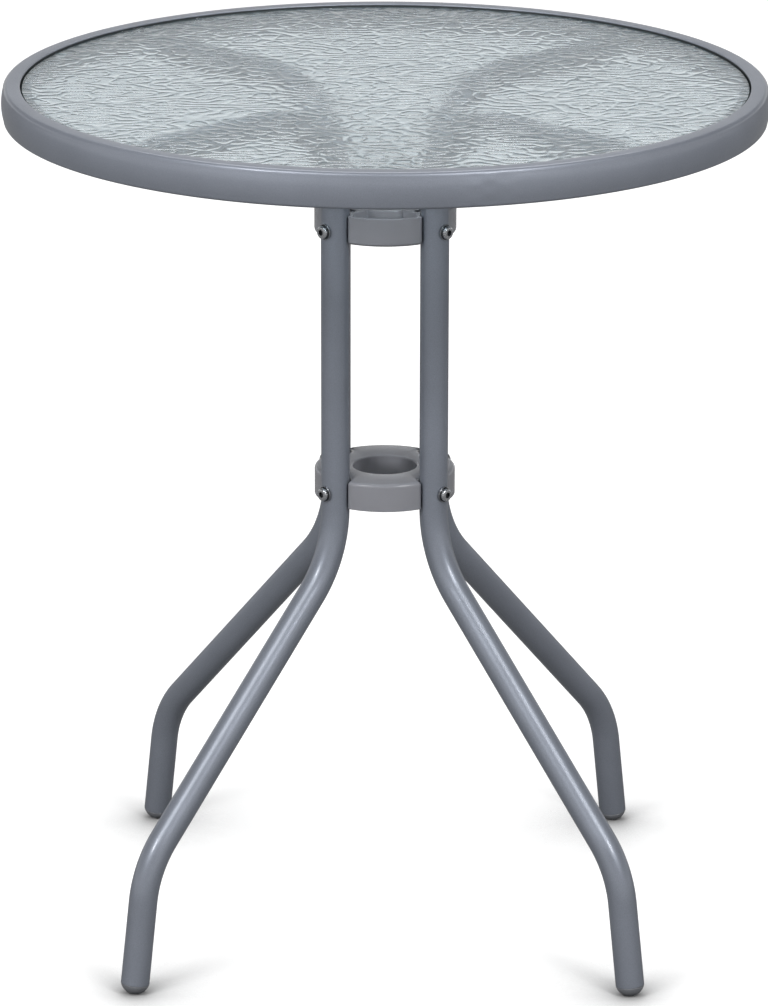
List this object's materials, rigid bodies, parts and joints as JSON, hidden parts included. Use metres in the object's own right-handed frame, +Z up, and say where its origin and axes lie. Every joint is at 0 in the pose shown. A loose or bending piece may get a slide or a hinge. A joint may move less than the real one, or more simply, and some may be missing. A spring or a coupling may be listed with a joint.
{
  "type": "umbrella table",
  "caption": "Round rippled-glass bistro table on bent tube legs that two moulded rings hold as a hollow column with a pole bore.",
  "frame": {"origin": "centre of the footprint, on the floor under the centre of the top", "axes": "+Z is up along the column, +X is to the right and -Y is the front of the picture's view"},
  "size_m": [0.5998, 0.5998, 0.688],
  "materials": {
    "glass": "clear tempered glass with a fine moulded ripple",
    "frame_coat": "metallic grey powder coat, satin",
    "coupler_plastic": "moulded grey plastic, satin",
    "foot_plastic": "moulded grey plastic, matte",
    "pad": "soft translucent silicone",
    "bolt_steel": "bright zinc plate",
    "washer_steel": "zinc plate"
  },
  "bodies": {
    "frame": {"rim_hoop": "frame_coat", "glass_ledge": "frame_coat", "glass_pads": "pad", "rim_lugs": "frame_coat", "foot_caps": "foot_plastic", "upper_coupler": "coupler_plastic", "lower_coupler": "coupler_plastic", "leg_front_left": "frame_coat", "leg_front_right": "frame_coat", "leg_back_right": "frame_coat", "leg_back_left": "frame_coat", "upper_bolts": "bolt_steel", "upper_spring_washers": "washer_steel", "upper_flat_washers": "washer_steel", "upper_captive_nuts": "bolt_steel", "lower_bolts": "bolt_steel", "lower_spring_washers": "washer_steel", "lower_flat_washers": "washer_steel", "lower_captive_nuts": "bolt_steel", "arm_bolts": "bolt_steel", "arm_spring_washers": "washer_steel", "arm_flat_washers": "washer_steel", "arm_weld_nuts": "bolt_steel"},
    "glass": {"glass_top": "glass"}
  },
  "joints": [
    {"name": "glass_lift", "type": "slide", "parent": "frame", "child": "glass", "axis": [0, 0, 1], "range_m": [0, 0.06]}
  ]
}
